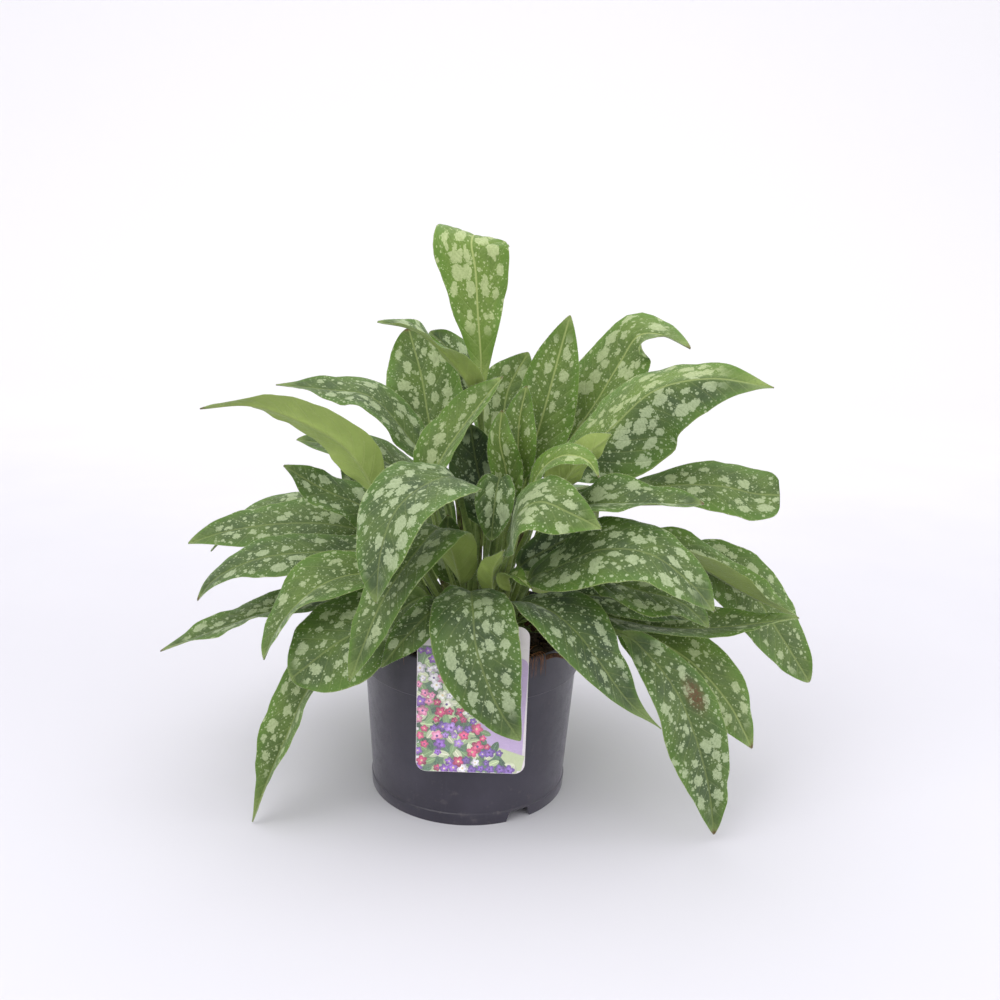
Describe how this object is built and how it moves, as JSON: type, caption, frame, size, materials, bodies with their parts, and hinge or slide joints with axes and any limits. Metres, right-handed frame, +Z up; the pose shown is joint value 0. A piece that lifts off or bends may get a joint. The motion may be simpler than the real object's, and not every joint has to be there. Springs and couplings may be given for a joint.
{
  "type": "potted majeste lungwort",
  "caption": "Spotted-leaf lungwort with long waved leaves arching from a low crown, in a round plastic nursery pot with a stick-in card label.",
  "frame": {"origin": "centre of the pot's underside, on the surface that the pot stands on", "axes": "+Z up through the pot, -Y towards the label's printed face, +X to the right as seen from the label's side"},
  "size_m": [0.5615, 0.375, 0.4829],
  "materials": {
    "pot_plastic": "satin moulded plastic, dark violet grey, faint dust",
    "potting_soil": "damp dark peat with fine fibres",
    "label_card": "smooth printed plastic card",
    "crown_tissue": "moist leaf bases and buds, dull",
    "leaf_blade": "hairy green leaf with pale silver spots, soft sheen"
  },
  "bodies": {
    "root": {"pot": "pot_plastic", "soil": "potting_soil", "label": "label_card", "crown": "crown_tissue", "leaf_front_centre": "leaf_blade", "leaf_low_left_broad": "leaf_blade", "leaf_low_left_hanging": "leaf_blade", "leaf_left_arching": "leaf_blade", "leaf_left_low_narrow": "leaf_blade", "leaf_left_mid_lower": "leaf_blade", "leaf_left_mid_upper": "leaf_blade", "leaf_left_mid_back": "leaf_blade", "leaf_left_young": "leaf_blade", "leaf_left_toothed": "leaf_blade", "leaf_left_short": "leaf_blade", "leaf_left_high_front": "leaf_blade", "leaf_left_high_back": "leaf_blade", "leaf_left_high_hidden": "leaf_blade", "leaf_upper_left_broad": "leaf_blade", "leaf_top_left_arching": "leaf_blade", "leaf_top_left_back": "leaf_blade", "leaf_tall_top": "leaf_blade", "leaf_centre_rising": "leaf_blade", "leaf_front_left_large": "leaf_blade", "leaf_centre_cupped": "leaf_blade", "leaf_centre_right_front": "leaf_blade", "leaf_centre_right_dark": "leaf_blade", "leaf_centre_young_pale": "leaf_blade", "leaf_centre_young_small": "leaf_blade", "leaf_centre_dark": "leaf_blade", "leaf_centre_bright": "leaf_blade", "leaf_centre_upright": "leaf_blade", "leaf_right_upright": "leaf_blade", "leaf_right_upright_back": "leaf_blade", "leaf_right_high_curled": "leaf_blade", "leaf_right_high_large": "leaf_blade", "leaf_right_mid_rounded": "leaf_blade", "leaf_right_mid_front": "leaf_blade", "leaf_right_young_curled": "leaf_blade", "leaf_right_pale_back": "leaf_blade", "leaf_low_right_front": "leaf_blade", "leaf_low_right_dark": "leaf_blade", "leaf_low_right_pointed": "leaf_blade", "leaf_right_low_folded": "leaf_blade", "leaf_right_low_long": "leaf_blade", "leaf_right_far_drooping": "leaf_blade", "leaf_right_hanging_back": "leaf_blade", "leaf_right_hanging_front": "leaf_blade", "leaf_front_right": "leaf_blade", "leaf_front_left_hanging": "leaf_blade", "leaf_front_left_dark": "leaf_blade", "leaf_back_high_right": "leaf_blade", "leaf_back_high_centre": "leaf_blade", "leaf_back_high_left": "leaf_blade", "leaf_back_side_right": "leaf_blade", "leaf_back_side_left": "leaf_blade", "leaf_back_low_right": "leaf_blade", "leaf_back_low_left": "leaf_blade", "leaf_back_low_centre": "leaf_blade", "leaf_centre_left_short": "leaf_blade"}
  },
  "joints": []
}
